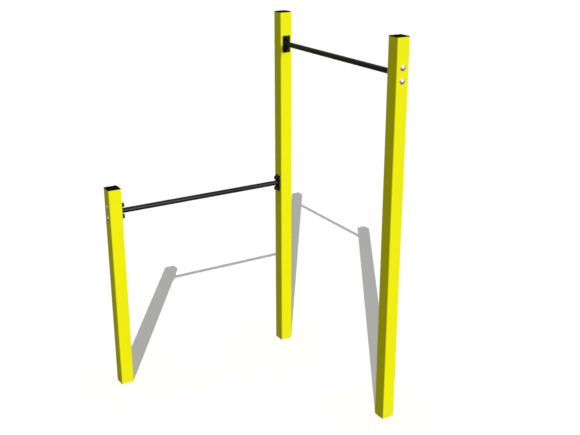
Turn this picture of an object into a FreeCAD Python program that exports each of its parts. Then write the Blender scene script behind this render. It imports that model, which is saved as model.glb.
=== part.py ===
# Two outdoor pull-up bars on three square posts, a low bar and a high bar at a right angle.
#
# Frame, in millimetres: origin on the ground at the centre of the middle post's foot, +Z up.
# The low bar runs from the middle post along -X to the left post, which is short.
# The high bar runs from the middle post along -Y to the right post, as tall as the middle one.
# Each bar is a tube welded to two end plates. Two coach bolts hold each plate. They pass right
# through the post, with a spacer tube round each inside it, and a washer, a nut and a plastic
# cover on the plate's side.

import FreeCAD, Part
import math
import os

import Sketcher
from FreeCAD import Placement, Rotation, Vector

# Driving dimensions, in millimetres.
SIZES = {
    # posts: square tube, standing on the ground, with this much of a post above its bar
    "post_width": 90,
    "post_wall": 3,
    "post_corner": 6,
    "above_low_bar": 170,
    "above_high_bar": 220,
    # bars: heights from the ground to the tube's centre, spans between the posts' faces
    "low_height": 1280,
    "high_height": 2300,
    "low_span": 1230,
    "high_span": 1230,
    "bar_diameter": 35,
    "bar_wall": 3,
    # end plates and the fillet weld round the tube
    "plate_thickness": 8,
    "plate_corner": 4,
    "plate_side_margin": 5,
    "plate_end_margin": 18,
    "weld_leg": 5,
    "weld_gap": 1.4,
    # M16 coach bolts: a domed head over a square neck as wide as the bolt
    "bolt_diameter": 16,
    "bolt_clearance": 1,
    "bolt_chamfer": 2,
    "bolt_beyond_nut": 2,
    "head_diameter": 38,
    "head_rise": 8.8,
    "head_edge": 1.5,
    "neck_length": 12.8,
    "neck_clearance": 0.6,
    # washer, nut and the nut's cover
    "washer_diameter": 28,
    "washer_thickness": 2.5,
    "nut_flats": 24,
    "nut_height": 13,
    "thread_clearance": 0.1,
    "cover_clearance": 0.4,
    "cover_wall": 1.2,
    "cover_crown": 1.6,
    "cover_round": 5,
    # spacer tubes between a post's walls, round the bolts and their necks
    "spacer_clearance": 0.6,
    "spacer_wall": 2.5,
    # plastic caps in the posts' upper ends
    "cap_rim": 4,
    "cap_bevel": 1.5,
    "cap_depth": 24,
    "cap_wall": 2.5,
    "cap_fin": 1.6,
    "cap_fin_height": 2,
    "cap_fin_pitch": 7,
    "cap_clearance": 0.2,
    # plates welded into the posts' lower ends, with four tapped holes for anchor studs
    "foot_thickness": 12,
    "foot_clearance": 0.2,
    "anchor_spacing": 50,
    "anchor_bore": 10.2,
}

# Sizes that follow from the driving ones, as expressions of the document.
INNER_WIDTH = "(size.post_width - 2 * size.post_wall)"
INNER_CORNER = "(size.post_corner - size.post_wall)"
LOW_PITCH = "(size.low_span + size.post_width)"
HIGH_PITCH = "(size.high_span + size.post_width)"
HALF_WIDTH = "(size.post_width / 2)"
HOLE_DIAMETER = "(size.bolt_diameter + size.bolt_clearance)"
NECK_HOLE = "(size.bolt_diameter + size.neck_clearance)"
CLAMPED = "(size.post_width + size.plate_thickness + size.washer_thickness + size.nut_height)"
BOLT_LENGTH = f"({CLAMPED} + size.bolt_beyond_nut)"
NUT_SEAT = "(size.plate_thickness + size.washer_thickness)"
NUT_TOP = "(size.washer_thickness + size.nut_height)"
NUT_CORNERS = "(size.nut_flats / cos(30 deg))"
NUT_BORE = "(size.bolt_diameter + 2 * size.thread_clearance)"
COVER_BORE = f"({NUT_CORNERS} + 2 * size.cover_clearance)"
COVER_MOUTH = "(size.washer_diameter + 2 * size.cover_clearance)"
COVER_MOUTH_DEPTH = "(size.washer_thickness + size.cover_clearance)"
COVER_DIAMETER = f"({COVER_MOUTH} + 2 * size.cover_wall)"
COVER_DEPTH = f"({NUT_TOP} + size.bolt_beyond_nut + size.cover_clearance)"
# The bolts stand far enough apart for their nuts' covers to clear the weld.
WELD_DIAMETER = "(size.bar_diameter + 2 * size.weld_leg)"
BOLT_SPACING = f"({WELD_DIAMETER} + {COVER_DIAMETER} + 2 * size.weld_gap)"
PLATE_WIDTH = f"({WELD_DIAMETER} + 2 * size.plate_side_margin)"
PLATE_LENGTH = f"({BOLT_SPACING} + 2 * size.plate_end_margin)"
SPACER_BORE = "(size.bolt_diameter * sqrt(2) + 2 * size.spacer_clearance)"
CAP_PLUG = f"({INNER_WIDTH} - 2 * size.cap_fin)"
CAP_HOLLOW = f"({CAP_PLUG} - 2 * size.cap_wall)"
CAP_FIN_WIDTH = f"({INNER_WIDTH} - 2 * size.cap_clearance)"
FOOT_WIDTH = f"({INNER_WIDTH} - 2 * size.foot_clearance)"
SHORT_HEIGHT = "(size.low_height + size.above_low_bar)"
TALL_HEIGHT = "(size.high_height + size.above_high_bar)"

POSTS = {
    "left": {"x": f"-{LOW_PITCH}", "y": "0", "height": SHORT_HEIGHT},
    "middle": {"x": "0", "y": "0", "height": TALL_HEIGHT},
    "right": {"x": "0", "y": f"-{HIGH_PITCH}", "height": TALL_HEIGHT},
}

# The four bolted ends. Each lies on one post's face, and `along` is the face's outward direction.
ENDS = {
    "low_left": {"post": "left", "along": (1, 0), "height": "size.low_height"},
    "low_middle": {"post": "middle", "along": (-1, 0), "height": "size.low_height"},
    "high_middle": {"post": "middle", "along": (0, -1), "height": "size.high_height"},
    "high_right": {"post": "right", "along": (0, 1), "height": "size.high_height"},
}
BOLTS = {"upper": f"{BOLT_SPACING} / 2", "lower": f"-{BOLT_SPACING} / 2"}
CAP_FINS = 3

doc = FreeCAD.newDocument("pull_up_bars")
nodes = []


def make_sheet():
    """The spreadsheet of driving dimensions, one aliased cell each."""
    sheet = doc.addObject("Spreadsheet::Sheet", "size")
    for row, (alias, value) in enumerate(SIZES.items(), start=1):
        sheet.set(f"A{row}", alias)
        sheet.set(f"B{row}", str(value))
        sheet.setAlias(f"B{row}", alias)
    doc.recompute()


def amount(expression):
    """What an expression comes to with the sheet's present values."""
    return float(doc.getObject("size").evalExpression(expression))


def new_body(label, is_node=True):
    """An empty body. A node is written to its own file."""
    body = doc.addObject("PartDesign::Body", label)
    body.Label = label
    if is_node:
        nodes.append(body)
    return body


def place(body, x, y, z, rotation=None):
    """Binds a body's place to expressions, and turns it."""
    body.Placement = Placement(Vector(0, 0, 0), rotation or Rotation())
    for axis, expression in zip("xyz", (x, y, z)):
        body.setExpression(f"Placement.Base.{axis}", expression)


def place_on_end(body, end, beyond="0", above="0"):
    """Sets a body made along its own +Z on a bolted end: its +Z points out of the post's face and
    its +Y points up. `beyond` is how far out of the face its origin lies, `above` how far over the bar."""
    along_x, along_y = ENDS[end]["along"]
    post = POSTS[ENDS[end]["post"]]
    turn = math.degrees(math.atan2(along_y, along_x))
    upright = Rotation(Vector(1, 1, 1), 120)
    place(
        body,
        f"{post['x']} + {along_x} * ({HALF_WIDTH} + {beyond})",
        f"{post['y']} + {along_y} * ({HALF_WIDTH} + {beyond})",
        f"{ENDS[end]['height']} + {above}",
        Rotation(Vector(0, 0, 1), turn).multiply(upright),
    )


def new_sketch(body, name, role="XY_Plane", lift=None):
    """A sketch on one of the body's own origin planes, or lifted off it along its normal."""
    sketch = body.newObject("Sketcher::SketchObject", name)
    plane = next(f for f in body.Origin.OriginFeatures if f.Role == role)
    sketch.AttachmentSupport = (plane, "")
    sketch.MapMode = "FlatFace"
    if lift:
        sketch.setExpression("AttachmentOffset.Base.z", lift)
    return sketch


def bind(sketch, kind, *where, to):
    """Adds a dimension and binds it to an expression."""
    index = sketch.addConstraint(Sketcher.Constraint(kind, *where, amount(to)))
    sketch.setExpression(f"Constraints[{index}]", to)


def pin_point(sketch, geometry, point, x, y):
    """Fixes one point of a piece of geometry. A place of "0" lies on the sketch's axis."""
    for kind, axis, value in (("DistanceX", -2, x), ("DistanceY", -1, y)):
        if value == "0":
            sketch.addConstraint(Sketcher.Constraint("PointOnObject", geometry, point, axis))
        else:
            bind(sketch, kind, -1, 1, geometry, point, to=value)


def draw_circle(sketch, diameter, x="0", y="0"):
    """A circle round a point."""
    middle = Vector(amount(x), amount(y), 0)
    circle = Part.Circle(middle, Vector(0, 0, 1), amount(diameter) / 2)
    index = sketch.addGeometry(circle)
    bind(sketch, "Diameter", index, to=diameter)
    pin_point(sketch, index, 3, x, y)


def dome_arc(crown, rim):
    """The arc from a crown on the upright axis to a rim, centred on that axis."""
    rise = rim.y - crown.y
    radius = (rim.x ** 2 + rise ** 2) / (2 * rise)
    middle = Vector(0, crown.y + radius, 0)
    angles = [math.atan2(end.y - middle.y, end.x) for end in (crown, rim)]
    return Part.ArcOfCircle(Part.Circle(middle, Vector(0, 0, 1), radius), *angles)


def draw_outline(sketch, points, domed=False):
    """A closed outline through points that are given anticlockwise, as pairs of expressions.
    Its sides are straight, except that a domed one starts with an arc centred on the upright axis."""
    corners = [Vector(amount(x), amount(y), 0) for x, y in points]
    sides = []
    for i, (corner, following) in enumerate(zip(corners, corners[1:] + corners[:1])):
        is_arc = domed and i == 0
        side = dome_arc(corner, following) if is_arc else Part.LineSegment(corner, following)
        sides.append(sketch.addGeometry(side))
        if is_arc:
            sketch.addConstraint(Sketcher.Constraint("PointOnObject", sides[0], 3, -2))
    for side, following in zip(sides, sides[1:] + sides[:1]):
        sketch.addConstraint(Sketcher.Constraint("Coincident", side, 2, following, 1))
    for side, (x, y) in zip(sides, points):
        pin_point(sketch, side, 1, x, y)


def draw_square(sketch, side, y):
    """A sharp square whose middle lies up the sketch's upright axis."""
    corners = ((-1, -1), (1, -1), (1, 1), (-1, 1))
    draw_outline(sketch, [(f"{i} * {side} / 2", f"{y} + {j} * {side} / 2") for i, j in corners])


def draw_rounded_rectangle(sketch, width, height, radius):
    """A rectangle with rounded corners round the origin: four lines joined by tangent arcs."""
    corner = amount(radius)
    halves = (amount(width) / 2, amount(height) / 2)
    lines, arcs = [], []
    for turn in range(4):
        across, up = halves if turn % 2 == 0 else reversed(halves)
        rotation = Rotation(Vector(0, 0, 1), 90 * turn)
        first = rotation.multVec(Vector(corner - across, -up, 0))
        last = rotation.multVec(Vector(across - corner, -up, 0))
        centre = rotation.multVec(Vector(across - corner, corner - up, 0))
        swing = math.radians(90 * turn)
        circle = Part.Circle(centre, Vector(0, 0, 1), corner)
        lines.append(sketch.addGeometry(Part.LineSegment(first, last)))
        arcs.append(sketch.addGeometry(Part.ArcOfCircle(circle, swing - math.pi / 2, swing)))
    for turn, level in enumerate(("Horizontal", "Vertical", "Horizontal", "Vertical")):
        following = lines[(turn + 1) % 4]
        sketch.addConstraint(Sketcher.Constraint("Tangent", lines[turn], 2, arcs[turn], 1))
        sketch.addConstraint(Sketcher.Constraint("Tangent", arcs[turn], 2, following, 1))
        sketch.addConstraint(Sketcher.Constraint(level, lines[turn]))
    for arc in arcs[1:]:
        sketch.addConstraint(Sketcher.Constraint("Equal", arcs[0], arc))
    bind(sketch, "Radius", arcs[0], to=radius)
    bind(sketch, "DistanceY", -1, 1, lines[2], 1, to=f"{height} / 2")
    bind(sketch, "DistanceY", lines[0], 1, -1, 1, to=f"{height} / 2")
    bind(sketch, "DistanceX", -1, 1, lines[1], 1, to=f"{width} / 2")
    bind(sketch, "DistanceX", lines[3], 1, -1, 1, to=f"{width} / 2")


def pad(body, sketch, length):
    """Raises a sketch into a solid along its normal."""
    feature = body.newObject("PartDesign::Pad", f"{sketch.Name}_pad")
    feature.Profile = sketch
    feature.setExpression("Length", length)
    doc.recompute()
    return feature


def cut_through(body, sketch, reverse):
    """Cuts a sketch out of everything on one side of it, and checks that it cut something."""
    before = body.Shape.Volume
    feature = body.newObject("PartDesign::Pocket", f"{sketch.Name}_pocket")
    feature.Profile = sketch
    feature.Reversed = reverse
    feature.Type = "ThroughAll"
    doc.recompute()
    if not body.Shape.Volume < before:
        raise RuntimeError(f"{feature.Name} cut nothing")


def revolve(body, sketch):
    """Turns a sketch in the XZ plane round the body's Z axis."""
    feature = body.newObject("PartDesign::Revolution", f"{sketch.Name}_turned")
    feature.Profile = sketch
    feature.ReferenceAxis = (sketch, ["V_Axis"])
    feature.Angle = 360
    doc.recompute()
    return feature


def dress_top(body, kind, base, name, reach):
    """Bevels or rounds the outer edge of a feature's highest face."""
    faces = base.Shape.Faces
    highest = max(range(len(faces)), key=lambda i: faces[i].CenterOfMass.z)
    feature = body.newObject(f"PartDesign::{kind}", name)
    feature.Base = (base, [f"Face{highest + 1}"])
    feature.setExpression("Size" if kind == "Chamfer" else "Radius", reach)
    doc.recompute()


def group_solids(label, bodies):
    """One node that holds several equal solids."""
    group = doc.addObject("Part::Compound", label)
    group.Label = label
    group.Links = bodies
    nodes.append(group)


def cut_bolt_holes(body, end):
    """Round holes in the wall under the end plate, and square ones for the bolts' necks opposite."""
    along_x, along_y = ENDS[end]["along"]
    role = "YZ_Plane" if along_x else "XZ_Plane"
    # A pocket cuts against its plane's normal, which is +X for YZ_Plane and -Y for XZ_Plane.
    plate_along_normal = along_x > 0 or along_y < 0
    for position, above in BOLTS.items():
        height = f"({ENDS[end]['height']} + {above})"
        round_hole = new_sketch(body, f"round_hole_{end}_{position}", role)
        draw_circle(round_hole, HOLE_DIAMETER, y=height)
        cut_through(body, round_hole, reverse=plate_along_normal)
        square_hole = new_sketch(body, f"square_hole_{end}_{position}", role)
        draw_square(square_hole, NECK_HOLE, height)
        cut_through(body, square_hole, reverse=not plate_along_normal)


def make_post(name):
    """A square tube with its bolt holes. The cap's rim makes up the overall height."""
    post = POSTS[name]
    body = new_body(f"post_{name}")
    profile = new_sketch(body, f"tube_{name}")
    draw_rounded_rectangle(profile, "size.post_width", "size.post_width", "size.post_corner")
    draw_rounded_rectangle(profile, INNER_WIDTH, INNER_WIDTH, INNER_CORNER)
    pad(body, profile, f"{post['height']} - size.cap_rim")
    for end in ENDS:
        if ENDS[end]["post"] == name:
            cut_bolt_holes(body, end)
    place(body, post["x"], post["y"], "0")


def make_post_cap(name):
    """A moulded cap: a rim over the tube's end, and a hollow plug with gripping fins below it."""
    post = POSTS[name]
    body = new_body(f"post_cap_{name}")
    rim = new_sketch(body, f"cap_rim_{name}")
    draw_rounded_rectangle(rim, "size.post_width", "size.post_width", "size.post_corner")
    top = pad(body, rim, "size.cap_rim")
    dress_top(body, "Chamfer", top, f"cap_bevel_{name}", "size.cap_bevel")
    plug = new_sketch(body, f"cap_plug_{name}", lift="-size.cap_depth")
    draw_rounded_rectangle(plug, CAP_PLUG, CAP_PLUG, INNER_CORNER)
    draw_rounded_rectangle(plug, CAP_HOLLOW, CAP_HOLLOW, f"{INNER_CORNER} / 2")
    pad(body, plug, "size.cap_depth")
    for number in range(CAP_FINS):
        lift = f"-size.cap_depth + {number} * size.cap_fin_pitch"
        fin = new_sketch(body, f"cap_fin_{name}_{number}", lift=lift)
        draw_rounded_rectangle(fin, CAP_FIN_WIDTH, CAP_FIN_WIDTH, INNER_CORNER)
        draw_rounded_rectangle(fin, CAP_HOLLOW, CAP_HOLLOW, f"{INNER_CORNER} / 2")
        pad(body, fin, "size.cap_fin_height")
    place(body, post["x"], post["y"], f"{post['height']} - size.cap_rim")


def make_foot_plate(name):
    """A plate welded flush into the tube's lower end, with four tapped holes for anchor studs."""
    body = new_body(f"foot_plate_{name}")
    outline = new_sketch(body, f"foot_{name}")
    draw_rounded_rectangle(outline, FOOT_WIDTH, FOOT_WIDTH, INNER_CORNER)
    for x, y in ((-1, -1), (1, -1), (1, 1), (-1, 1)):
        across = f"{x} * size.anchor_spacing / 2"
        draw_circle(outline, "size.anchor_bore", across, f"{y} * size.anchor_spacing / 2")
    pad(body, outline, "size.foot_thickness")
    place(body, POSTS[name]["x"], POSTS[name]["y"], "0")


def make_bar(name, end, span):
    """The grip tube, from one end plate to the other."""
    body = new_body(f"{name}_bar_tube")
    profile = new_sketch(body, f"{name}_ring")
    draw_circle(profile, "size.bar_diameter")
    draw_circle(profile, "size.bar_diameter - 2 * size.bar_wall")
    pad(body, profile, f"{span} - 2 * size.plate_thickness")
    place_on_end(body, end, beyond="size.plate_thickness")


def make_end_plate(end):
    """A flat plate with rounded corners and two bolt holes."""
    bar, post = end.split("_")
    body = new_body(f"{bar}_bar_plate_{post}")
    outline = new_sketch(body, f"plate_{end}")
    draw_rounded_rectangle(outline, PLATE_WIDTH, PLATE_LENGTH, "size.plate_corner")
    for above in BOLTS.values():
        draw_circle(outline, HOLE_DIAMETER, y=above)
    pad(body, outline, "size.plate_thickness")
    place_on_end(body, end)


def make_weld(end):
    """The fillet weld round the tube, where it meets the end plate."""
    bar, post = end.split("_")
    body = new_body(f"{bar}_bar_weld_{post}")
    section = new_sketch(body, f"weld_{end}", "XZ_Plane")
    root = "size.bar_diameter / 2"
    draw_outline(section, [(root, "0"), (f"{WELD_DIAMETER} / 2", "0"), (root, "size.weld_leg")])
    revolve(body, section)
    place_on_end(body, end, beyond="size.plate_thickness")


def make_bolt(end, position):
    """A coach bolt, made upwards from the crown of its domed head."""
    body = new_body(f"bolt_{end}_{position}")
    section = new_sketch(body, f"bolt_section_{end}_{position}", "XZ_Plane")
    rim = "size.head_diameter / 2"
    shank = "size.bolt_diameter / 2"
    tip = f"(size.head_rise + {BOLT_LENGTH})"
    outline = [
        ("0", "0"),
        (rim, "size.head_rise - size.head_edge"),
        (rim, "size.head_rise"),
        (shank, "size.head_rise"),
        (shank, f"{tip} - size.bolt_chamfer"),
        (f"{shank} - size.bolt_chamfer", tip),
        ("0", tip),
    ]
    draw_outline(section, outline, domed=True)
    revolve(body, section)
    neck = new_sketch(body, f"bolt_neck_{end}_{position}", lift="size.head_rise")
    draw_square(neck, "size.bolt_diameter", "0")
    pad(body, neck, "size.neck_length")
    beyond = "(-size.post_width - size.head_rise)"
    place_on_end(body, end, beyond, above=BOLTS[position])


def make_nut(end, position):
    """A hexagon nut with flats up and down, its bore just clear of the bolt."""
    body = new_body(f"nut_{end}_{position}")
    profile = new_sketch(body, f"nut_profile_{end}_{position}")
    corner = f"{NUT_CORNERS} / 2"
    hexagon = [
        (f"{corner} * cos({60 * i} deg)", "0" if i % 3 == 0 else f"{corner} * sin({60 * i} deg)")
        for i in range(6)
    ]
    draw_outline(profile, hexagon)
    draw_circle(profile, NUT_BORE)
    pad(body, profile, "size.nut_height")
    place_on_end(body, end, NUT_SEAT, above=BOLTS[position])


def make_nut_cover(end, position):
    """A plastic cover that snaps over the nut and its washer and stands on the end plate."""
    body = new_body(f"nut_cover_{end}_{position}")
    section = new_sketch(body, f"cover_section_{end}_{position}", "XZ_Plane")
    outer = f"{COVER_DIAMETER} / 2"
    mouth = f"{COVER_MOUTH} / 2"
    bore = f"{COVER_BORE} / 2"
    crown = f"({COVER_DEPTH} + size.cover_crown)"
    outline = [
        (mouth, "0"),
        (outer, "0"),
        (outer, crown),
        ("0", crown),
        ("0", COVER_DEPTH),
        ("size.bolt_diameter / 2 + size.cover_clearance", COVER_DEPTH),
        (bore, f"{NUT_TOP} + size.cover_clearance"),
        (bore, COVER_MOUTH_DEPTH),
        (mouth, COVER_MOUTH_DEPTH),
    ]
    draw_outline(section, outline)
    shell = revolve(body, section)
    dress_top(body, "Fillet", shell, f"cover_round_{end}_{position}", "size.cover_round")
    place_on_end(body, end, "size.plate_thickness", above=BOLTS[position])


def make_ring(label, end, position, bore, diameter, length, beyond):
    """A plain ring round a bolt, which becomes part of a group."""
    body = new_body(label, is_node=False)
    profile = new_sketch(body, f"{label}_ring")
    draw_circle(profile, diameter)
    draw_circle(profile, bore)
    pad(body, profile, length)
    place_on_end(body, end, beyond, above=BOLTS[position])
    return body


def make_washer(end, position):
    """The washer between the end plate and the nut."""
    label = f"washer_{end}_{position}"
    across = "size.washer_diameter"
    thick = "size.washer_thickness"
    return make_ring(label, end, position, HOLE_DIAMETER, across, thick, "size.plate_thickness")


def make_spacer(end, position):
    """The tube between the post's walls that keeps the bolt from crushing them."""
    label = f"spacer_{end}_{position}"
    across = f"{SPACER_BORE} + 2 * size.spacer_wall"
    beyond = "(size.post_wall - size.post_width)"
    return make_ring(label, end, position, SPACER_BORE, across, INNER_WIDTH, beyond)


def make_fasteners(end):
    """Everything that holds one end plate to its post."""
    for position in BOLTS:
        make_bolt(end, position)
        make_nut(end, position)
        make_nut_cover(end, position)
    group_solids(f"washers_{end}", [make_washer(end, position) for position in BOLTS])
    group_solids(f"spacers_{end}", [make_spacer(end, position) for position in BOLTS])


def check_and_write():
    """Stops if anything failed, then writes one file for each node."""
    doc.recompute()
    failed = [o.Name for o in doc.Objects if "Invalid" in o.State or "Error" in o.State]
    if failed:
        raise RuntimeError(f"these objects failed: {failed}")
    for node in nodes:
        if node.Shape.isNull() or not node.Shape.isValid():
            raise RuntimeError(f"{node.Label} has no valid shape")
    os.makedirs("parts", exist_ok=True)
    for node in nodes:
        node.Shape.exportStep(f"parts/{node.Label}.step")
    print(f"{len(nodes)} nodes, {sum(len(node.Shape.Solids) for node in nodes)} solids")


def main():
    """Builds every piece and writes it."""
    make_sheet()
    for name in POSTS:
        make_post(name)
        make_post_cap(name)
        make_foot_plate(name)
    make_bar("low", "low_left", "size.low_span")
    make_bar("high", "high_middle", "size.high_span")
    for end in ENDS:
        make_end_plate(end)
        make_weld(end)
        make_fasteners(end)
    check_and_write()


main()
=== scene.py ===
import math

import bmesh
import bpy
from bpy.props import (
    FloatProperty,
    FloatVectorProperty,
    IntProperty,
    PointerProperty,
)
from mathutils import Matrix, Vector


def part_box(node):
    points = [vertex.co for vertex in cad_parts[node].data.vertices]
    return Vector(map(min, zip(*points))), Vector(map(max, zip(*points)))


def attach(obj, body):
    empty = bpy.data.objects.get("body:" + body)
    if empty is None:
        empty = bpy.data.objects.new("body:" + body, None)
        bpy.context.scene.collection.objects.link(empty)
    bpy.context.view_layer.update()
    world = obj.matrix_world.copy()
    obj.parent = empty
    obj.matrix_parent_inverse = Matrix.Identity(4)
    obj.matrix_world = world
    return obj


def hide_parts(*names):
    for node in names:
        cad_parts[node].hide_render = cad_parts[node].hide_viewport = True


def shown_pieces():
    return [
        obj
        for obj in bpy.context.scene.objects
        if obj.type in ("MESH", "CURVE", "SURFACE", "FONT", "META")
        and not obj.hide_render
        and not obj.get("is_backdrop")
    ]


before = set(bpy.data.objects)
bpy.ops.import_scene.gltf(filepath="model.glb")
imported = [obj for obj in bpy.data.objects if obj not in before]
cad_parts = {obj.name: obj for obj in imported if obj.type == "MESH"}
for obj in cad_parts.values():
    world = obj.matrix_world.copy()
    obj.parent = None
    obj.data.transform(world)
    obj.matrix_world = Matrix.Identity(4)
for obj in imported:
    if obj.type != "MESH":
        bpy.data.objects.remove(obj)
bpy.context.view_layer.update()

bl_info = {
    "name": "Pull-up Bars",
    "version": (1, 0, 0),
    "blender": (4, 5, 0),
    "location": "3D View > Sidebar > Pull-up Bars",
    "description": "A low and a high pull-up bar on three painted square posts",
    "category": "Add Mesh",
}

MM = 0.001
UP = Vector((0, 0, 1))
POSTS = ("left", "middle", "right")
BARS = {"low": ("left", "middle"), "high": ("middle", "right")}
ENDS = [(bar, post) for bar, posts in BARS.items() for post in posts]
BOLTS = ("upper", "lower")


# Places and sizes that the frame gives.


def extent(node):
    """How far a node reaches along X, Y and Z."""
    low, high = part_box(node)
    return high - low


def middle(node):
    """The centre of a node's box."""
    low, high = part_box(node)
    return (low + high) / 2


def outward(bar, post):
    """The level direction in which a bar's end plate lies off its post."""
    away = middle(f"{bar}_bar_plate_{post}") - middle(f"post_{post}")
    away.z = 0
    return away.normalized()


def along(node, direction):
    """How far a node reaches along a level direction."""
    return abs(extent(node).dot(Vector(map(abs, direction))))


def first_point(node, direction):
    """The middle of the side of a node's box that a direction leaves behind."""
    return middle(node) - direction * along(node, direction) / 2


def stand(point, direction):
    """The place of a piece made along its own +Z, which turns to a level direction. Its +Y turns
    upright."""
    turn = Matrix((UP.cross(direction), UP, direction)).transposed()
    return Matrix.Translation(point) @ turn.to_4x4()


# Settings.

# Pieces of the frame that a size is read from.
FIRST_BOLT = "bolt_low_left_upper"
FIRST_COVER = "nut_cover_low_left_upper"


def length(name, description, default):
    """A length that the sidebar shows in the scene's unit."""
    return FloatProperty(
        name=name, description=description, default=default, min=0, unit="LENGTH", precision=5
    )


def share(name, description, default):
    """A number from nothing to all."""
    return FloatProperty(
        name=name, description=description, default=default, min=0, max=1, subtype="FACTOR"
    )


def colour(name, description, default):
    """A colour in linear light."""
    return FloatVectorProperty(
        name=name, description=description, default=default, min=0, max=1, size=3, subtype="COLOR"
    )


class PostSettings(bpy.types.PropertyGroup):
    """Sizes and paint of the posts"""

    width: length("Width", "Outer width of the square tube", extent("post_left").x)
    wall: length("Wall", "Thickness of the tube's wall", 3 * MM)
    corner: length("Corner", "Outer radius of the tube's corners", 6 * MM)
    hole: length("Round hole", "Diameter of the bolt holes under an end plate", 17 * MM)
    neck_hole: length("Square hole", "Width of the holes that hold the bolts' necks", 16.6 * MM)
    end_ease: length("Eased ends", "Rounding of the tube's cut ends", 0.5 * MM)
    paint: colour("Paint", "Colour of the posts' powder coat", (0.88, 0.86, 0.002))


class CapSettings(bpy.types.PropertyGroup):
    """Sizes and colour of the caps in the posts' upper ends"""

    rim: length("Rim", "Height of the cap that shows above the tube", 4 * MM)
    rounding: length("Rounding", "Radius of the cap's upper edge", 1.5 * MM)
    plug_gap: length("Plug gap", "How far the plug stays off the tube's wall", 1.6 * MM)
    fin_gap: length("Fin gap", "How far the fins stay off the tube's wall", 0.2 * MM)
    fin_pitch: length("Fin pitch", "Distance from fin to fin", 7 * MM)
    fin_height: length("Fin height", "Height of each fin", 2 * MM)
    fins: IntProperty(name="Fins", description="Number of fins round the plug", default=3, min=1)
    wall: length("Plug wall", "Thickness of the plug's wall", 2.5 * MM)
    plastic: colour("Plastic", "Colour of the caps", (0.004, 0.0035, 0.0035))


class BarSettings(bpy.types.PropertyGroup):
    """Sizes and paint of the bars, their end plates and welds"""

    diameter: length("Diameter", "Outer diameter of the grip tube", extent("low_bar_tube").z)
    wall: length("Wall", "Thickness of the grip tube's wall", 3 * MM)
    bar_ease: length("Eased ends", "Bevel at the grip tube's ends", 0.6 * MM)
    plate_corner: length("Plate corner", "Radius of the end plates' corners", 4 * MM)
    plate_edge: length("Plate edge", "Rounding of the end plates' edges", 0.8 * MM)
    plate_hole: length("Plate hole", "Diameter of the plates' bolt holes", 17 * MM)
    weld_leg: length("Weld leg", "How far the weld reaches along the tube and the plate", 5 * MM)
    weld_bulge: length("Weld bulge", "How far the weld's face swells out", 0.9 * MM)
    weld_ripple: length("Weld ripple", "Height of the weld's ripples", 0.3 * MM)
    ripples: IntProperty(name="Ripples", description="Ripples round a weld", default=58, min=8)
    paint: colour("Paint", "Colour of the bars' powder coat", (0.012, 0.012, 0.0125))


class FastenerSettings(bpy.types.PropertyGroup):
    """Sizes and colours of the bolts and the nuts' covers"""

    head: length("Head", "Diameter of the domed heads", extent(FIRST_BOLT).z)
    head_rise: length("Head rise", "Height of the domed heads", 8.8 * MM)
    head_edge: length("Head edge", "Straight edge round the domed heads", 1.5 * MM)
    ease: length("Ease", "Rounding of the heads' rims and the necks' ends", 0.5 * MM)
    shank: length("Shank", "Diameter of the bolts, and width of their square necks", 16 * MM)
    neck: length("Neck", "Length of the square necks", 12.8 * MM)
    tip_bevel: length("Tip bevel", "Bevel at the bolts' threaded ends", 2 * MM)
    cover: length("Cover", "Diameter of the nuts' covers", extent(FIRST_COVER).z)
    cover_round: length("Cover rounding", "Radius of the covers' upper edge", 5 * MM)
    cover_wall: length("Cover wall", "Thickness of the covers' wall", 1.2 * MM)
    cover_top: length("Cover top", "Thickness of the covers' top", 1.6 * MM)
    cover_gap: length("Cover gap", "How far the covers stay off what they hold", 0.4 * MM)
    groove_height: length("Groove height", "Height of the covers' base rings", 5 * MM)
    groove_depth: length("Groove depth", "Depth of the groove over the base rings", 0.35 * MM)
    washer: length("Washer", "Thickness of the washers under the nuts", 2.5 * MM)
    zinc: colour("Zinc", "Colour of the bolts' plating", (0.74, 0.67, 0.67))
    plastic: colour("Plastic", "Colour of the nuts' covers", (0.0035, 0.0033, 0.0036))


class FinishSettings(bpy.types.PropertyGroup):
    """How worn and dusty the surfaces are"""

    peel: share("Orange peel", "Depth of the powder coat's fine waves", 0.5)
    wear: share("Edge wear", "How much paint has gone from the edges", 0.12)
    dust: share("Dust", "How much dust lies near the ground", 0.10)
    dust_height: length("Dust height", "How high the dust reaches up the posts", 0.16)


class StageSettings(bpy.types.PropertyGroup):
    """The floor, the soft fill and the camera"""

    floor: length("Floor", "Width of the floor", 120.0)
    floor_colour: colour("Floor colour", "Colour of the floor", (0.9, 0.9, 0.9))
    ambient: FloatProperty(
        name="Ambient", description="Brightness of the studio's soft fill", default=0.27, min=0
    )
    camera_place: FloatVectorProperty(
        name="Camera", description="Where the camera stands", default=(-3.2585, -5.5062, 3.3016),
        subtype="TRANSLATION", unit="LENGTH",
    )
    camera_heading: FloatProperty(
        name="Heading", description="How far the camera looks from +Y towards +X",
        default=math.radians(31.063), subtype="ANGLE",
    )
    camera_pitch: FloatProperty(
        name="Pitch", description="How far the camera looks down",
        default=math.radians(19.82), subtype="ANGLE",
    )
    camera_lens: FloatProperty(
        name="Lens", description="Focal length in millimetres", default=56.14, min=1
    )


class PullUpBarSettings(bpy.types.PropertyGroup):
    """All the settings, group by group"""

    posts: PointerProperty(type=PostSettings)
    caps: PointerProperty(type=CapSettings)
    bars: PointerProperty(type=BarSettings)
    fasteners: PointerProperty(type=FastenerSettings)
    finish: PointerProperty(type=FinishSettings)
    stage: PointerProperty(type=StageSettings)


# Node helpers.


def add_node(tree, kind, inputs=None, **settings):
    """Adds a node, then sets its settings and sets or links its inputs."""
    node = tree.nodes.new(kind)
    for name, value in settings.items():
        setattr(node, name, value)
    for key, value in (inputs or {}).items():
        if isinstance(value, bpy.types.NodeSocket):
            tree.links.new(value, node.inputs[key])
        else:
            node.inputs[key].default_value = value
    return node


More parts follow.
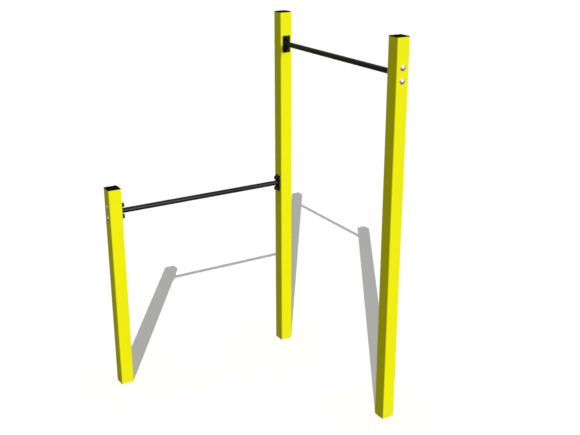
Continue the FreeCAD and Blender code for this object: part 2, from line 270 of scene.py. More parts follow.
def math_node(tree, operation, first, second, clamp=False):
    """The result of one sum on values."""
    node = add_node(
        tree, "ShaderNodeMath", {0: first, 1: second}, operation=operation, use_clamp=clamp
    )
    return node.outputs[0]


def mix_colours(tree, factor, first, second):
    """A colour between two."""
    node = add_node(tree, "ShaderNodeMix", {0: factor, 6: first, 7: second}, data_type="RGBA")
    return node.outputs[2]


def span(tree, value, low, high, to_low, to_high):
    """A value carried from one range to another, and kept within it."""
    inputs = {"Value": value, 1: low, 2: high, 3: to_low, 4: to_high}
    return add_node(tree, "ShaderNodeMapRange", inputs, clamp=True).outputs[0]


def noise(tree, where, scale, detail, roughness=0.5):
    """Smooth random values of about a half, in cycles a metre."""
    inputs = {"Vector": where, "Scale": scale, "Detail": detail, "Roughness": roughness}
    return add_node(tree, "ShaderNodeTexNoise", inputs).outputs[0]


def new_group(name, inputs, outputs):
    """An empty shader group with named sockets, and its two end nodes."""
    group = bpy.data.node_groups.new(name, "ShaderNodeTree")
    for kind, sockets in (("INPUT", inputs), ("OUTPUT", outputs)):
        for label, socket_type in sockets.items():
            group.interface.new_socket(label, in_out=kind, socket_type=socket_type)
    return group, add_node(group, "NodeGroupInput"), add_node(group, "NodeGroupOutput")


VALUE = "NodeSocketFloat"
VECTOR = "NodeSocketVector"


def surface_group():
    """The fine waves and the broad blotches of a coated or moulded surface."""
    if "coated surface" in bpy.data.node_groups:
        return bpy.data.node_groups["coated surface"]
    inputs = {"Where": VECTOR, "Grain": VALUE, "Blotch": VALUE}
    group, given, made = new_group("coated surface", inputs, {"Height": VALUE, "Blotches": VALUE})
    where = given.outputs["Where"]
    coarse = noise(group, where, given.outputs["Grain"], 2.0, 0.4)
    finer = math_node(group, "MULTIPLY", given.outputs["Grain"], 3.1)
    fine = noise(group, where, finer, 1.0)
    height = math_node(group, "ADD", math_node(group, "MULTIPLY", fine, 0.35), coarse)
    blotches = span(group, noise(group, where, given.outputs["Blotch"], 4.0), 0.3, 0.7, 0.0, 1.0)
    group.links.new(height, made.inputs["Height"])
    group.links.new(blotches, made.inputs["Blotches"])
    return group


def wear_group():
    """Where the edges of a piece have been rubbed, in patches."""
    if "rubbed edges" in bpy.data.node_groups:
        return bpy.data.node_groups["rubbed edges"]
    inputs = {"Where": VECTOR, "Reach": VALUE, "Amount": VALUE}
    group, given, made = new_group("rubbed edges", inputs, {"Wear": VALUE})
    rounded = add_node(group, "ShaderNodeBevel", {"Radius": given.outputs["Reach"]}, samples=4)
    flat = add_node(group, "ShaderNodeNewGeometry")
    normals = {0: rounded.outputs[0], 1: flat.outputs["Normal"]}
    product = add_node(group, "ShaderNodeVectorMath", normals, operation="DOT_PRODUCT")
    edge = span(group, product.outputs["Value"], 0.97, 0.8, 0.0, 1.0)
    patchy = noise(group, given.outputs["Where"], 55.0, 5.0, 0.6)
    patches = span(group, patchy, 0.42, 0.62, 0.0, 1.0)
    worn = math_node(group, "MULTIPLY", edge, patches)
    worn = math_node(group, "MULTIPLY", worn, given.outputs["Amount"], clamp=True)
    group.links.new(worn, made.inputs["Wear"])
    return group


def dust_group():
    """Dust that thins out with height above the ground."""
    if "ground dust" in bpy.data.node_groups:
        return bpy.data.node_groups["ground dust"]
    inputs = {"Where": VECTOR, "Reach": VALUE, "Amount": VALUE}
    group, given, made = new_group("ground dust", inputs, {"Dust": VALUE})
    height = add_node(group, "ShaderNodeSeparateXYZ", {0: given.outputs["Where"]}).outputs["Z"]
    level = math_node(group, "DIVIDE", height, given.outputs["Reach"])
    near = span(group, level, 0.0, 1.0, 1.0, 0.0)
    near = math_node(group, "MULTIPLY", near, near)
    speckle = span(group, noise(group, given.outputs["Where"], 38.0, 6.0, 0.65), 0.3, 0.7, 0.2, 1.0)
    dust = math_node(group, "MULTIPLY", near, speckle)
    dust = math_node(group, "MULTIPLY", dust, given.outputs["Amount"], clamp=True)
    group.links.new(dust, made.inputs["Dust"])
    return group


def new_material(name, metallic=0.0, specular=0.5):
    """An empty material, its shader, and the place on the piece that its patterns read."""
    material = bpy.data.materials.new(name)
    material.use_nodes = True
    tree = material.node_tree
    shader = next(n for n in tree.nodes if n.type == "BSDF_PRINCIPLED")
    shader.inputs["Metallic"].default_value = metallic
    shader.inputs["Specular IOR Level"].default_value = specular
    where = add_node(tree, "ShaderNodeTexCoord").outputs["Object"]
    return material, tree, shader, where


def use_group(tree, group, **inputs):
    """Places a shared group and gives it this material's own values."""
    return add_node(tree, "ShaderNodeGroup", inputs, node_tree=group)


def roughen(tree, shader, height, depth, strength):
    """Feeds a height to the shader's normal."""
    inputs = {"Strength": strength, "Distance": depth, "Height": height}
    bump = add_node(tree, "ShaderNodeBump", inputs)
    tree.links.new(bump.outputs["Normal"], shader.inputs["Normal"])


def shades(base, darker, lighter):
    """Two shades of a colour."""
    return [tuple(c * factor for c in base) + (1.0,) for factor in (darker, lighter)]


DUST_COLOUR = (0.40, 0.36, 0.29, 1.0)
PRIMER_COLOUR = (0.45, 0.45, 0.44, 1.0)
BARE_STEEL_COLOUR = (0.28, 0.28, 0.29, 1.0)
SCUFF_COLOUR = (0.05, 0.05, 0.052, 1.0)
INNER_ZINC_COLOUR = (0.5, 0.5, 0.51)
PAINT_BLOTCH = 2.6
PLASTIC_BLOTCH = 9.0
ZINC_BLOTCH = 70.0
PAINT_RUBBED_REACH = 1.2 * MM
PLASTIC_RUBBED_REACH = 0.8 * MM


def powder_coat(name, base, under, finish, grain, depth, roughness, specular):
    """Baked powder paint: fine orange peel and specks, faint blotches, rubbed edges and dust."""
    material, tree, shader, where = new_material(name, specular=specular)
    surface = use_group(tree, surface_group(), Where=where, Grain=grain, Blotch=PAINT_BLOTCH)
    blotches = surface.outputs["Blotches"]
    painted = mix_colours(tree, blotches, *shades(base, 0.965, 1.0))
    speckle = span(tree, surface.outputs["Height"], 0.5, 0.85, 0.0, 0.08)
    speck_colour, _ = shades(base, 0.4, 1.0)
    painted = mix_colours(tree, speckle, painted, speck_colour)
    rubbed = {"Reach": PAINT_RUBBED_REACH, "Amount": finish.wear}
    wear = use_group(tree, wear_group(), Where=where, **rubbed)
    worn = mix_colours(tree, wear.outputs["Wear"], painted, under)
    dusty = {"Reach": finish.dust_height, "Amount": finish.dust}
    dust = use_group(tree, dust_group(), Where=where, **dusty).outputs["Dust"]
    tree.links.new(mix_colours(tree, dust, worn, DUST_COLOUR), shader.inputs["Base Color"])
    sheen = span(tree, blotches, 0.0, 1.0, roughness - 0.03, roughness + 0.04)
    dull = math_node(tree, "ADD", sheen, math_node(tree, "MULTIPLY", dust, 0.5), clamp=True)
    tree.links.new(dull, shader.inputs["Roughness"])
    roughen(tree, shader, surface.outputs["Height"], depth, finish.peel)
    return material


def moulded_plastic(name, base, finish, grain, roughness, specular):
    """Black injection moulded plastic with a fine even texture and paler scuffs on its edges."""
    material, tree, shader, where = new_material(name, specular=specular)
    surface = use_group(tree, surface_group(), Where=where, Grain=grain, Blotch=PLASTIC_BLOTCH)
    rubbed = {"Reach": PLASTIC_RUBBED_REACH, "Amount": finish.wear}
    wear = use_group(tree, wear_group(), Where=where, **rubbed)
    dark, pale = shades(base, 0.85, 1.25)
    plain = mix_colours(tree, surface.outputs["Blotches"], dark, pale)
    scuffed = mix_colours(tree, wear.outputs["Wear"], plain, SCUFF_COLOUR)
    tree.links.new(scuffed, shader.inputs["Base Color"])
    sheen = span(tree, surface.outputs["Blotches"], 0.0, 1.0, roughness - 0.04, roughness + 0.05)
    tree.links.new(sheen, shader.inputs["Roughness"])
    roughen(tree, shader, surface.outputs["Height"], 0.12 * MM, 0.35)
    return material


def plated_steel(name, base, roughness, grain, stain):
    """Zinc plated steel: fine crystals, soft cloudy patches and a few dull stains."""
    material, tree, shader, where = new_material(name, metallic=1.0)
    surface = use_group(tree, surface_group(), Where=where, Grain=grain, Blotch=ZINC_BLOTCH)
    crystals = add_node(tree, "ShaderNodeTexVoronoi", {"Vector": where, "Scale": grain * 0.6})
    facet = add_node(tree, "ShaderNodeSeparateXYZ", {0: crystals.outputs["Color"]}).outputs[0]
    dark, pale = shades(base, 0.86, 1.06)
    clouded = mix_colours(tree, surface.outputs["Blotches"], dark, pale)
    stained = mix_colours(tree, math_node(tree, "MULTIPLY", facet, stain), clouded, dark)
    tree.links.new(stained, shader.inputs["Base Color"])
    sheen = span(tree, facet, 0.0, 1.0, roughness - 0.05, roughness + 0.07)
    tree.links.new(sheen, shader.inputs["Roughness"])
    roughen(tree, shader, surface.outputs["Height"], 0.1 * MM, 0.2)
    return material


def plain_floor(base):
    """A pale matt floor with a trace of mottling."""
    material, tree, shader, where = new_material("studio floor", specular=0.0)
    mottle = noise(tree, where, 1.5, 3.0)
    shade = mix_colours(tree, mottle, *shades(base, 0.99, 1.0))
    tree.links.new(shade, shader.inputs["Base Color"])
    shader.inputs["Roughness"].default_value = 1.0
    return material


# Shared modelling steps.

# Corners nearer than this are one corner.
DOUBLES = 0.02 * MM
# A corner this near to a cutting plane lies on it.
ON_PLANE = 0.001 * MM
# An edge that turns further than this, in radians, is a corner of the shape.
CORNER_ANGLE = 1.0
SMOOTH_ANGLE = math.radians(40)
FLAT_COSINE = math.cos(math.radians(1))
TUBE_CORNER_STEPS = 10
ROUND_SIDES = 48
BAR_SIDES = 72
STEPS_A_RIPPLE = 6
DOME_RINGS = 12
SHOULDER_STEPS = 10
# How square a bolt's neck is, from 0 for round to 1 for sharp corners.
NECK_SQUARENESS = 0.96
# A direction along which hardly any two corners of a piece are level.
SLANT = Vector((1.0, math.sqrt(2), math.sqrt(5)))


def shade_by_angle(mesh):
    """Smooth faces, with the edges that turn far kept sharp."""
    mesh.shade_smooth()
    mesh.set_sharp_from_angle(angle=SMOOTH_ANGLE)


def shade_flats(mesh):
    """Flat faces stay flat, and only the rounded strips between them are smooth."""
    for face in mesh.polygons:
        face.use_smooth = max(map(abs, face.normal)) < FLAT_COSINE


def put_in_order(bm):
    """Numbers corners and faces by their place, so that every run makes the same mesh."""
    bm.verts.sort(key=lambda corner: corner.co.dot(SLANT))
    bm.faces.sort(key=lambda face: face.calc_center_median().dot(SLANT))


def finish_piece(bm, name, place, material, node, shade):
    """Merges a shape's doubled corners, moves it to its place, makes it an object that stands for
    a CAD node, and paints it."""
    bmesh.ops.remove_doubles(bm, verts=bm.verts, dist=DOUBLES)
    bmesh.ops.transform(bm, matrix=place, verts=bm.verts)
    bmesh.ops.recalc_face_normals(bm, faces=bm.faces)
    put_in_order(bm)
    mesh = bpy.data.meshes.new(name)
    bm.to_mesh(mesh)
    bm.free()
    shade(mesh)
    piece = bpy.data.objects.new(name, mesh)
    bpy.context.scene.collection.objects.link(piece)
    mesh.materials.append(material)
    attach(piece, "root")
    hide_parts(node)


def bevel_edges(bm, edges, offset, segments):
    """Rounds edges."""
    bmesh.ops.bevel(
        bm, geom=edges, offset=offset, offset_type="OFFSET", affect="EDGES",
        segments=segments, profile=0.5, material=-1, clamp_overlap=True,
    )


def split(bm, point, normal):
    """Cuts every face along a plane and keeps both sides."""
    everything = bm.verts[:] + bm.edges[:] + bm.faces[:]
    bmesh.ops.bisect_plane(bm, geom=everything, dist=ON_PLANE, plane_co=point, plane_no=normal)


def upright_edges(bm, height):
    """The edges that run up a box."""
    return [e for e in bm.edges if abs(e.verts[0].co.z - e.verts[1].co.z) > height / 2]


# Half the width of the square patch that a hole is opened in, and the cuts along its sides.
HOLE_PATCH = 12 * MM
HOLE_CUTS = 7


def pierce(bm, at, directions, width, is_round):
    """Opens a hole in a flat wall of no thickness that lies in two directions."""
    for direction in directions:
        for side in (-1, 1):
            split(bm, at + direction * side * HOLE_PATCH, direction)
    face = nearest_face(bm, at)
    if is_round:
        bmesh.ops.subdivide_edges(bm, edges=face.edges[:], cuts=HOLE_CUTS)
        face = nearest_face(bm, at)
    bmesh.ops.inset_individual(bm, faces=[face], thickness=HOLE_PATCH - width / 2)
    if is_round:
        for vertex in face.verts:
            vertex.co = at + (vertex.co - at).normalized() * width / 2
    bmesh.ops.delete(bm, geom=[face], context="FACES_ONLY")


def nearest_face(bm, point):
    """The face whose centre lies nearest to a point."""
    return min(bm.faces, key=lambda face: (face.calc_center_median() - point).length)


def draw_out(bm, crown, stations, segments):
    """Draws a ring out through stations of radius, distance and squareness, from a centre that is
    closed at the crown to a flat end."""
    radius, distance, _ = stations[0]
    place = Matrix.Translation((0, 0, distance))
    made = bmesh.ops.create_circle(
        bm, cap_ends=True, cap_tris=True, segments=segments, radius=radius, matrix=place
    )
    for vertex in made["verts"]:
        if vertex.co.xy.length < radius / 2:
            vertex.co.z = crown
    ring = [edge for edge in bm.edges if edge.is_boundary]
    for radius, distance, squareness in stations[1:]:
        grown = bmesh.ops.extrude_edge_only(bm, edges=ring)["geom"]
        ring = [g for g in grown if isinstance(g, bmesh.types.BMEdge) and g.is_boundary]
        for vertex in {v for edge in ring for v in edge.verts}:
            ray = vertex.co.xy.normalized()
            to_square = 1 / max(abs(ray.x), abs(ray.y))
            reach = radius * (1 + squareness * (to_square - 1))
            vertex.co = (ray.x * reach, ray.y * reach, distance)
    bmesh.ops.contextual_create(bm, geom=ring)


def spin_section(bm, points, steps):
    """Turns a closed section, given as radius and distance, once round Z."""
    corners = [bm.verts.new((radius, 0, distance)) for radius, distance in points]
    sides = [bm.edges.new(pair) for pair in zip(corners, corners[1:] + corners[:1])]
    bmesh.ops.spin(
        bm, geom=corners + sides, cent=(0, 0, 0), axis=(0, 0, 1), dvec=(0, 0, 0),
        angle=math.tau, steps=steps, use_merge=True, use_duplicate=False,
    )


def arc(centre, radius, start, end, steps):
    """Points on a quarter or other part of a circle, as radius and distance."""
    angles = [math.radians(start + (end - start) * i / steps) for i in range(steps + 1)]
    return [(centre[0] + radius * math.cos(a), centre[1] + radius * math.sin(a)) for a in angles]


# Pieces.


def make_post(name, settings, material):
    """A square tube with rounded corners, its bolt holes and lightly rounded ends."""
    node = f"post_{name}"
    height = extent(node).z
    centre = middle(node)
    foot = Vector((centre.x, centre.y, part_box(node)[0].z))
    bm = bmesh.new()
    size = Matrix.Diagonal((settings.width, settings.width, height, 1))
    bmesh.ops.create_cube(bm, size=1, matrix=Matrix.Translation(UP * height / 2) @ size)
    bm.normal_update()
    ends = [face for face in bm.faces if abs(face.normal.z) > 0.5]
    bmesh.ops.delete(bm, geom=ends, context="FACES_ONLY")
    bevel_edges(bm, upright_edges(bm, height), settings.corner, TUBE_CORNER_STEPS)
    for bar, post in ENDS:
        if post == name:
            side = outward(bar, post)
            directions = (side.cross(UP), UP)
            for bolt in BOLTS:
                level = UP * (middle(f"bolt_{bar}_{post}_{bolt}").z - foot.z)
                wall = side * settings.width / 2
                pierce(bm, level + wall, directions, settings.hole, True)
                pierce(bm, level - wall, directions, settings.neck_hole, False)
    bmesh.ops.recalc_face_normals(bm, faces=bm.faces)
    bmesh.ops.solidify(bm, geom=bm.faces[:], thickness=settings.wall)
    rims = [
        edge for edge in bm.edges
        for level in (0, height)
        if all(abs(v.co.z - level) < DOUBLES for v in edge.verts)
        and not edge.is_boundary and edge.calc_face_angle(0) > CORNER_ANGLE
    ]
    bevel_edges(bm, rims, settings.end_ease, 2)
    place = Matrix.Translation(foot)
    finish_piece(bm, f"post_{name}_tube", place, material, node, shade_flats)


def make_post_cap(name, posts, caps, material):
    """A moulded cap: a rim with a rounded upper edge, and a hollow finned plug below it."""
    node = f"post_cap_{name}"
    centre = middle(node)
    low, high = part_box(node)
    depth = high.z - low.z - caps.rim
    half = posts.width / 2
    inner = half - posts.wall
    plug = inner - caps.plug_gap
    fin = inner - caps.fin_gap
    bm = bmesh.new()
    size = Matrix.Diagonal((posts.width, posts.width, caps.rim, 1))
    bmesh.ops.create_cube(bm, size=1, matrix=Matrix.Translation(UP * caps.rim / 2) @ size)
    bevel_edges(bm, upright_edges(bm, caps.rim), posts.corner, TUBE_CORNER_STEPS)
    bm.normal_update()
    top = [e for e in bm.edges if all(v.co.z > caps.rim - DOUBLES for v in e.verts)]
    bevel_edges(bm, top, caps.rounding, 4)
    bm.normal_update()
    below = min(bm.faces, key=lambda face: face.calc_center_median().z + face.normal.z)
    bmesh.ops.inset_individual(bm, faces=[below], thickness=half - plug)
    # Down the plug from fin to fin: out to the fin's edge, down its side, and back in.
    level = 0
    width = plug
    for number in reversed(range(caps.fins)):
        foot = -depth + number * caps.fin_pitch
        below = step_down(bm, below, foot + caps.fin_height - level, 1)
        below = step_down(bm, below, 0, fin / width)
        below = step_down(bm, below, -caps.fin_height, 1)
        level = foot
        if number:
            below = step_down(bm, below, 0, plug / fin)
            width = plug
    hollow = plug - caps.wall
    bmesh.ops.inset_individual(bm, faces=[below], thickness=fin - hollow)
    step_down(bm, below, depth, 1)
    place = Matrix.Translation((centre.x, centre.y, high.z - caps.rim))
    finish_piece(bm, f"post_{name}_end_cap", place, material, node, shade_flats)


def step_down(bm, face, drop, scale):
    """Extrudes a level face, moves it up or down and widens or narrows it."""
    made = bmesh.ops.extrude_discrete_faces(bm, faces=[face])["faces"][0]
    bmesh.ops.scale(bm, vec=(scale, scale, 1), verts=made.verts[:])
    bmesh.ops.translate(bm, vec=(0, 0, drop), verts=made.verts[:])
    return made


def make_bar(bar, settings, material):
    """A grip tube with its two ends slightly eased."""
    node = f"{bar}_bar_tube"
    direction = outward(bar, BARS[bar][0])
    reach = along(node, direction)
    outer = settings.diameter / 2
    inner = outer - settings.wall
    ease = settings.bar_ease
    section = [
        (inner, 0), (outer - ease, 0), (outer, ease), (outer, reach - ease),
        (outer - ease, reach), (inner, reach),
    ]
    bm = bmesh.new()
    spin_section(bm, section, BAR_SIDES)
    place = stand(first_point(node, direction), direction)
    finish_piece(bm, f"{bar}_grip_bar", place, material, node, shade_by_angle)


def make_end_plate(bar, post, settings, material):
    """A flat plate with rounded corners, an eased outline and two bolt holes."""
    node = f"{bar}_bar_plate_{post}"
    direction = outward(bar, post)
    thick = along(node, direction)
    tall = extent(node).z
    wide = along(node, direction.cross(UP))
    bm = bmesh.new()
    size = Matrix.Diagonal((wide, tall, 1, 1))
    bmesh.ops.create_grid(bm, x_segments=1, y_segments=1, size=0.5, matrix=size)
    bmesh.ops.bevel(
        bm, geom=bm.verts[:], offset=settings.plate_corner, offset_type="OFFSET",
        affect="VERTICES", segments=8, profile=0.5, material=-1,
    )
    directions = (Vector((1, 0, 0)), Vector((0, 1, 0)))
    holes = [
        Vector((0, middle(f"bolt_{bar}_{post}_{bolt}").z - middle(node).z, 0)) for bolt in BOLTS
    ]
    for hole in holes:
        pierce(bm, hole, directions, settings.plate_hole, True)
    bmesh.ops.recalc_face_normals(bm, faces=bm.faces)
    bmesh.ops.solidify(bm, geom=bm.faces[:], thickness=thick)
    low = min(v.co.z for v in bm.verts)
    bmesh.ops.translate(bm, vec=(0, 0, -low), verts=bm.verts)
    bm.normal_update()
    outline = [
        edge for edge in bm.edges if edge.calc_face_angle(0) > CORNER_ANGLE
        and all((edge.verts[0].co - hole).xy.length > settings.plate_hole for hole in holes)
    ]
    bevel_edges(bm, outline, settings.plate_edge, 3)
    place = stand(first_point(node, direction), direction)
    name = f"{bar}_bar_end_plate_{post}"
    finish_piece(bm, name, place, material, node, shade_flats)


def make_weld(bar, post, settings, material):
    """A fillet weld round the tube, laid in overlapping ripples."""
    node = f"{bar}_bar_weld_{post}"
    direction = outward(bar, post)
    root = settings.diameter / 2
    leg = settings.weld_leg
    ripple = settings.weld_ripple
    near = leg / 100
    steps = 8
    face = [(root + leg * (1 - i / steps), leg * i / steps) for i in range(steps + 1)]
    swell = [math.sin(math.pi * i / steps) for i in range(steps + 1)]
    bulge = [ripple + settings.weld_bulge * part for part in swell]
    slope = math.sqrt(0.5)
    crest = [(r + b * slope - ripple, z + b * slope - ripple * (i > 0))
             for i, ((r, z), b) in enumerate(zip(face, bulge))]
    crest[0] = face[0]
    crest[-1] = face[-1]
    bm = bmesh.new()
    spin_section(bm, [(root, 0), *crest], settings.ripples * STEPS_A_RIPPLE)
    for vertex in bm.verts:
        radius = vertex.co.xy.length
        if radius > root + near and vertex.co.z > near:
            turn = math.atan2(vertex.co.y, vertex.co.x)
            across = (radius - root - vertex.co.z) / leg
            # Each ripple bows back at its ends, and their spacing drifts a little.
            phase = turn * settings.ripples / math.tau + 0.6 * across * across
            phase += 0.15 * math.sin(3 * turn + 1)
            wave = abs(math.sin(math.pi * phase)) ** 0.6 - 0.5
            push = ripple * wave * (1 - across * across)
            ray = vertex.co.xy.normalized() * push * slope
            vertex.co += Vector((ray.x, ray.y, push * slope))
    place = stand(first_point(node, direction), direction)
    name = f"{bar}_bar_weld_bead_{post}"
    finish_piece(bm, name, place, material, node, shade_by_angle)


def make_bolt(bar, post, bolt, settings, material):
    """A coach bolt: a domed head with an eased rim, a square neck and a plain shank."""
    node = f"bolt_{bar}_{post}_{bolt}"
    direction = outward(bar, post)
    tip = along(node, direction)
    rim = settings.head / 2
    rise = settings.head_rise - settings.head_edge
    radius = (rim ** 2 + rise ** 2) / (2 * rise)
    swing = math.asin(rim / radius)
    angles = [swing * i / DOME_RINGS for i in range(1, DOME_RINGS + 1)]
    dome = [(radius * math.sin(a), radius * (1 - math.cos(a)), 0) for a in angles]
    under = settings.head_rise
    ease = settings.ease
    half = settings.shank / 2
    neck_end = under + settings.neck
    bevel = settings.tip_bevel
    stations = dome + [
        (rim, under - ease, 0),
        (rim - ease, under, 0),
        (half * 1.2, under, 0.9),
        (half, under + ease, NECK_SQUARENESS),
        (half, neck_end - ease, NECK_SQUARENESS),
        (half, neck_end + ease, 0),
        (half, tip - bevel, 0),
        (half - bevel, tip, 0),
    ]
    bm = bmesh.new()
    draw_out(bm, 0, stations, ROUND_SIDES)
    place = stand(first_point(node, direction), direction)
    name = f"coach_bolt_{bar}_{post}_{bolt}"
    finish_piece(bm, name, place, material, node, shade_by_angle)


def make_nut_cover(bar, post, bolt, settings, material):
    """A hollow plastic cover: a rounded cap on a base ring, with a fine groove where they part."""
    node = f"nut_cover_{bar}_{post}_{bolt}"
    direction = outward(bar, post)
    top = along(node, direction)
    outer = settings.cover / 2
    curve = settings.cover_round
    gap = settings.cover_gap
    nut = f"nut_{bar}_{post}_{bolt}"
    bore = along(nut, direction.cross(UP)) / 2 + gap
    nut_top = settings.washer + along(nut, direction) + gap
    tip = settings.shank / 2 + gap
    mouth = outer - settings.cover_wall
    mouth_top = settings.washer + gap
    crown = top - settings.cover_top
    groove = settings.groove_height
    notch = settings.groove_depth
    shoulder = arc((outer - curve, top - curve), curve, 0, 90, SHOULDER_STEPS)
    inside = [(tip, crown), (bore, nut_top), (bore, mouth_top), (mouth, mouth_top), (mouth, 0)]
    outside = [
        (outer - notch, 0), (outer, notch), (outer, groove - notch), (outer - notch, groove),
        (outer, groove + notch), *shoulder,
    ]
    stations = [(radius, distance, 0) for radius, distance in inside + outside]
    bm = bmesh.new()
    draw_out(bm, crown, stations, ROUND_SIDES)
    place = stand(first_point(node, direction), direction)
    name = f"bolt_cover_{bar}_{post}_{bolt}"
    finish_piece(bm, name, place, material, node, shade_by_angle)


# Operators.

# Each light: the way it shines, its strength, and how wide it is in degrees.
FLOOR_SUN = ((0.7755, 1.1856, -1.0), 3.75, 0.15)
FLOOR_SOFTBOX = ((0.0, 0.0, -1.0), 0.1, 120.0)
FRONT_SOFTBOX = ((-0.35, 1.0, -0.35), 2.7, 18.0)
REAR_SOFTBOX = ((-0.6, -0.7, -1.1), 2.9, 30.0)
SIDE_SOFTBOX = ((1.0, 0.3, -0.8), 1.6, 30.0)
# The fill from straight below and straight above, as shares of its mean.
FILL_BELOW = 0.15
FILL_ABOVE = 1.85


def repaint(node, material):
    """Gives a CAD node that stays in view its own finish."""
    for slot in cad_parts[node].material_slots:
        slot.material = material


class MakePosts(bpy.types.Operator):
    """Make the three painted posts"""

    bl_idname = "pull_up_bars.make_posts"
    bl_label = "Posts"

    def execute(self, context):
        settings = context.scene.pull_up_bars
        paint = powder_coat(
            "yellow powder coat", settings.posts.paint, PRIMER_COLOUR, settings.finish,
            grain=420.0, depth=0.25 * MM, roughness=0.45, specular=0.1,
        )
        for name in POSTS:
            make_post(name, settings.posts, paint)
        return {"FINISHED"}


class MakePostCaps(bpy.types.Operator):
    """Make the plastic caps in the posts' upper ends"""

    bl_idname = "pull_up_bars.make_post_caps"
    bl_label = "Post caps"

    def execute(self, context):
        settings = context.scene.pull_up_bars
        plastic = moulded_plastic(
            "post cap plastic", settings.caps.plastic, settings.finish,
            grain=900.0, roughness=0.7, specular=0.02,
        )
        for name in POSTS:
            make_post_cap(name, settings.posts, settings.caps, plastic)
        return {"FINISHED"}


class MakeBars(bpy.types.Operator):
    """Make the two grip bars, with their end plates and welds"""

    bl_idname = "pull_up_bars.make_bars"
    bl_label = "Bars and end plates"

    def execute(self, context):
        settings = context.scene.pull_up_bars
        paint = powder_coat(
            "black powder coat", settings.bars.paint, BARE_STEEL_COLOUR, settings.finish,
            grain=800.0, depth=0.2 * MM, roughness=0.42, specular=0.2,
        )
        for bar in BARS:
            make_bar(bar, settings.bars, paint)
        for bar, post in ENDS:
            make_end_plate(bar, post, settings.bars, paint)
            make_weld(bar, post, settings.bars, paint)
        return {"FINISHED"}


class MakeBolts(bpy.types.Operator):
    """Make the coach bolts"""

    bl_idname = "pull_up_bars.make_bolts"
    bl_label = "Coach bolts"

    def execute(self, context):
        fasteners = context.scene.pull_up_bars.fasteners
        zinc = plated_steel("bright zinc", fasteners.zinc, roughness=0.48, grain=900.0, stain=0.5)
        for bar, post in ENDS:
            for bolt in BOLTS:
                make_bolt(bar, post, bolt, fasteners, zinc)
        return {"FINISHED"}


class MakeNutCovers(bpy.types.Operator):
    """Make the plastic covers over the nuts"""

    bl_idname = "pull_up_bars.make_nut_covers"
    bl_label = "Nut covers"

    def execute(self, context):
        settings = context.scene.pull_up_bars
        plastic = moulded_plastic(
            "nut cover plastic", settings.fasteners.plastic, settings.finish,
            grain=1100.0, roughness=0.38, specular=0.2,
        )
        for bar, post in ENDS:
            for bolt in BOLTS:
                make_nut_cover(bar, post, bolt, settings.fasteners, plastic)
        return {"FINISHED"}


class PaintInnerSteel(bpy.types.Operator):
    """Paint the steel that lies inside: nuts, washers, spacer tubes and foot plates"""

    bl_idname = "pull_up_bars.paint_inner_steel"
    bl_label = "Inner steel"

    def execute(self, context):
        zinc = plated_steel(
            "dull zinc", INNER_ZINC_COLOUR, roughness=0.45, grain=700.0, stain=0.7
        )
        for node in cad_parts:
            if node.startswith(("nut_low", "nut_high", "washers_", "spacers_", "foot_plate_")):
                repaint(node, zinc)
        return {"FINISHED"}


class MakeStage(bpy.types.Operator):
    """Make the floor, the studio light and the camera"""

    bl_idname = "pull_up_bars.make_stage"
    bl_label = "Floor, light and camera"

    def execute(self, context):
        settings = context.scene.pull_up_bars.stage
        scene = context.scene
        scene.view_settings.view_transform = "Standard"
        floor = make_floor(settings)
        make_world(scene, settings.ambient)
        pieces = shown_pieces()
        bolts = [piece for piece in pieces if piece.name.startswith("coach_bolt")]
        posts = [piece for piece in pieces if piece.name.endswith("_tube")]
        only_floor = receivers("floor", [floor])
        only_object = receivers("whole object", pieces)
        only_bright = receivers("posts and bolts", posts + bolts)
        only_bolts = receivers("bolts", bolts)
        make_sun("floor sun", *FLOOR_SUN, only_floor)
        make_sun("floor softbox", *FLOOR_SOFTBOX, only_floor)
        make_sun("front softbox", *FRONT_SOFTBOX, only_object)
        make_sun("rear softbox", *REAR_SOFTBOX, only_bright)
        make_sun("side softbox", *SIDE_SOFTBOX, only_bolts)
        make_camera(scene, settings)
        return {"FINISHED"}


def make_floor(settings):
    """A flat pale floor at the posts' feet. Its light doesn't bounce back on the posts."""
    bm = bmesh.new()
    bmesh.ops.create_grid(bm, x_segments=8, y_segments=8, size=settings.floor / 2)
    mesh = bpy.data.meshes.new("studio_floor")
    bm.to_mesh(mesh)
    bm.free()
    floor = bpy.data.objects.new("studio_floor", mesh)
    bpy.context.scene.collection.objects.link(floor)
    mesh.materials.append(plain_floor(settings.floor_colour))
    floor.visible_diffuse = False
    floor.visible_glossy = False
    floor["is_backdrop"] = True
    return floor


def make_world(scene, ambient):
    """A white surround. What reaches the object is a soft fill, brighter from above."""
    world = bpy.data.worlds.new("studio surround")
    world.use_nodes = True
    tree = world.node_tree
    fill = next(n for n in tree.nodes if n.type == "BACKGROUND")
    fill.inputs["Color"].default_value = (1, 1, 1, 1)
    way = add_node(tree, "ShaderNodeTexCoord").outputs["Generated"]
    rise = add_node(tree, "ShaderNodeSeparateXYZ", {0: way}).outputs["Z"]
    strength = span(tree, rise, -1.0, 1.0, FILL_BELOW * ambient, FILL_ABOVE * ambient)
    tree.links.new(strength, fill.inputs["Strength"])
    seen = add_node(tree, "ShaderNodeBackground", {"Color": (1, 1, 1, 1), "Strength": 1.0})
    path = add_node(tree, "ShaderNodeLightPath")
    both = {0: path.outputs["Is Camera Ray"], 1: fill.outputs[0], 2: seen.outputs[0]}
    mixed = add_node(tree, "ShaderNodeMixShader", both)
    output = next(n for n in tree.nodes if n.type == "OUTPUT_WORLD")
    tree.links.new(mixed.outputs[0], output.inputs["Surface"])
    scene.world = world


def receivers(name, objects):
    """A collection of the objects that a light is meant for."""
    collection = bpy.data.collections.new(name)
    for item in objects:
        collection.objects.link(item)
    return collection


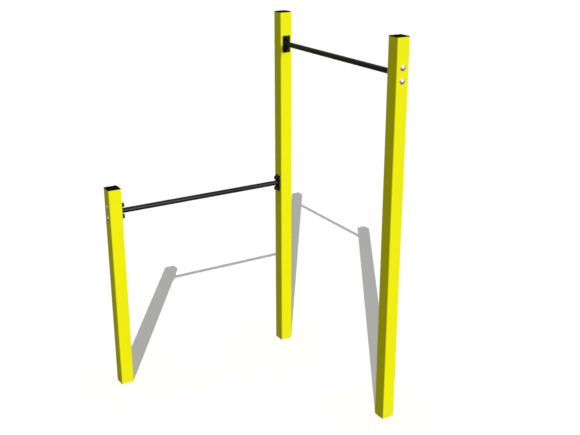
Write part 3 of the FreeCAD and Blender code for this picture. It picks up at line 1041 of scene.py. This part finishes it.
def make_sun(name, towards, strength, angle, lit):
    """A distant light that shines one way on a collection, as soft as its angle is wide."""
    light = bpy.data.lights.new(name, "SUN")
    light.energy = strength
    light.angle = math.radians(angle)
    sun = bpy.data.objects.new(name, light)
    sun.rotation_mode = "QUATERNION"
    sun.rotation_quaternion = Vector(towards).to_track_quat("-Z", "Y")
    bpy.context.scene.collection.objects.link(sun)
    sun.light_linking.receiver_collection = lit


def make_camera(scene, settings):
    """The camera, level from side to side."""
    camera = bpy.data.objects.new("camera", bpy.data.cameras.new("camera"))
    camera.data.lens = settings.camera_lens
    camera.data.sensor_width = 36
    camera.location = settings.camera_place
    level = math.radians(90)
    camera.rotation_euler = (level - settings.camera_pitch, 0, -settings.camera_heading)
    scene.collection.objects.link(camera)
    scene.camera = camera


MAKERS = (
    MakePosts, MakePostCaps, MakeBars, MakeBolts, MakeNutCovers, PaintInnerSteel, MakeStage,
)


class PullUpBarPanel(bpy.types.Panel):
    """The steps that build the pull-up bars"""

    bl_idname = "VIEW3D_PT_pull_up_bars"
    bl_label = "Pull-up Bars"
    bl_space_type = "VIEW_3D"
    bl_region_type = "UI"
    bl_category = "Pull-up Bars"

    def draw(self, context):
        for maker in MAKERS:
            self.layout.operator(maker.bl_idname)
        settings = context.scene.pull_up_bars
        for group in (
            settings.posts, settings.caps, settings.bars, settings.fasteners,
            settings.finish, settings.stage,
        ):
            box = self.layout.box()
            for name in group.__annotations__:
                box.prop(group, name)


CLASSES = (
    PostSettings, CapSettings, BarSettings, FastenerSettings, FinishSettings, StageSettings,
    PullUpBarSettings, *MAKERS, PullUpBarPanel,
)


def register():
    """Adds the settings, operators and panel to Blender."""
    for cls in CLASSES:
        bpy.utils.register_class(cls)
    bpy.types.Scene.pull_up_bars = PointerProperty(type=PullUpBarSettings)


def unregister():
    """Takes them out again."""
    del bpy.types.Scene.pull_up_bars
    for cls in reversed(CLASSES):
        bpy.utils.unregister_class(cls)


def main():
    """Builds everything."""
    register()
    for maker in MAKERS:
        group, operator = maker.bl_idname.split(".")
        getattr(getattr(bpy.ops, group), operator)()


if __name__ == "__main__":
    main()
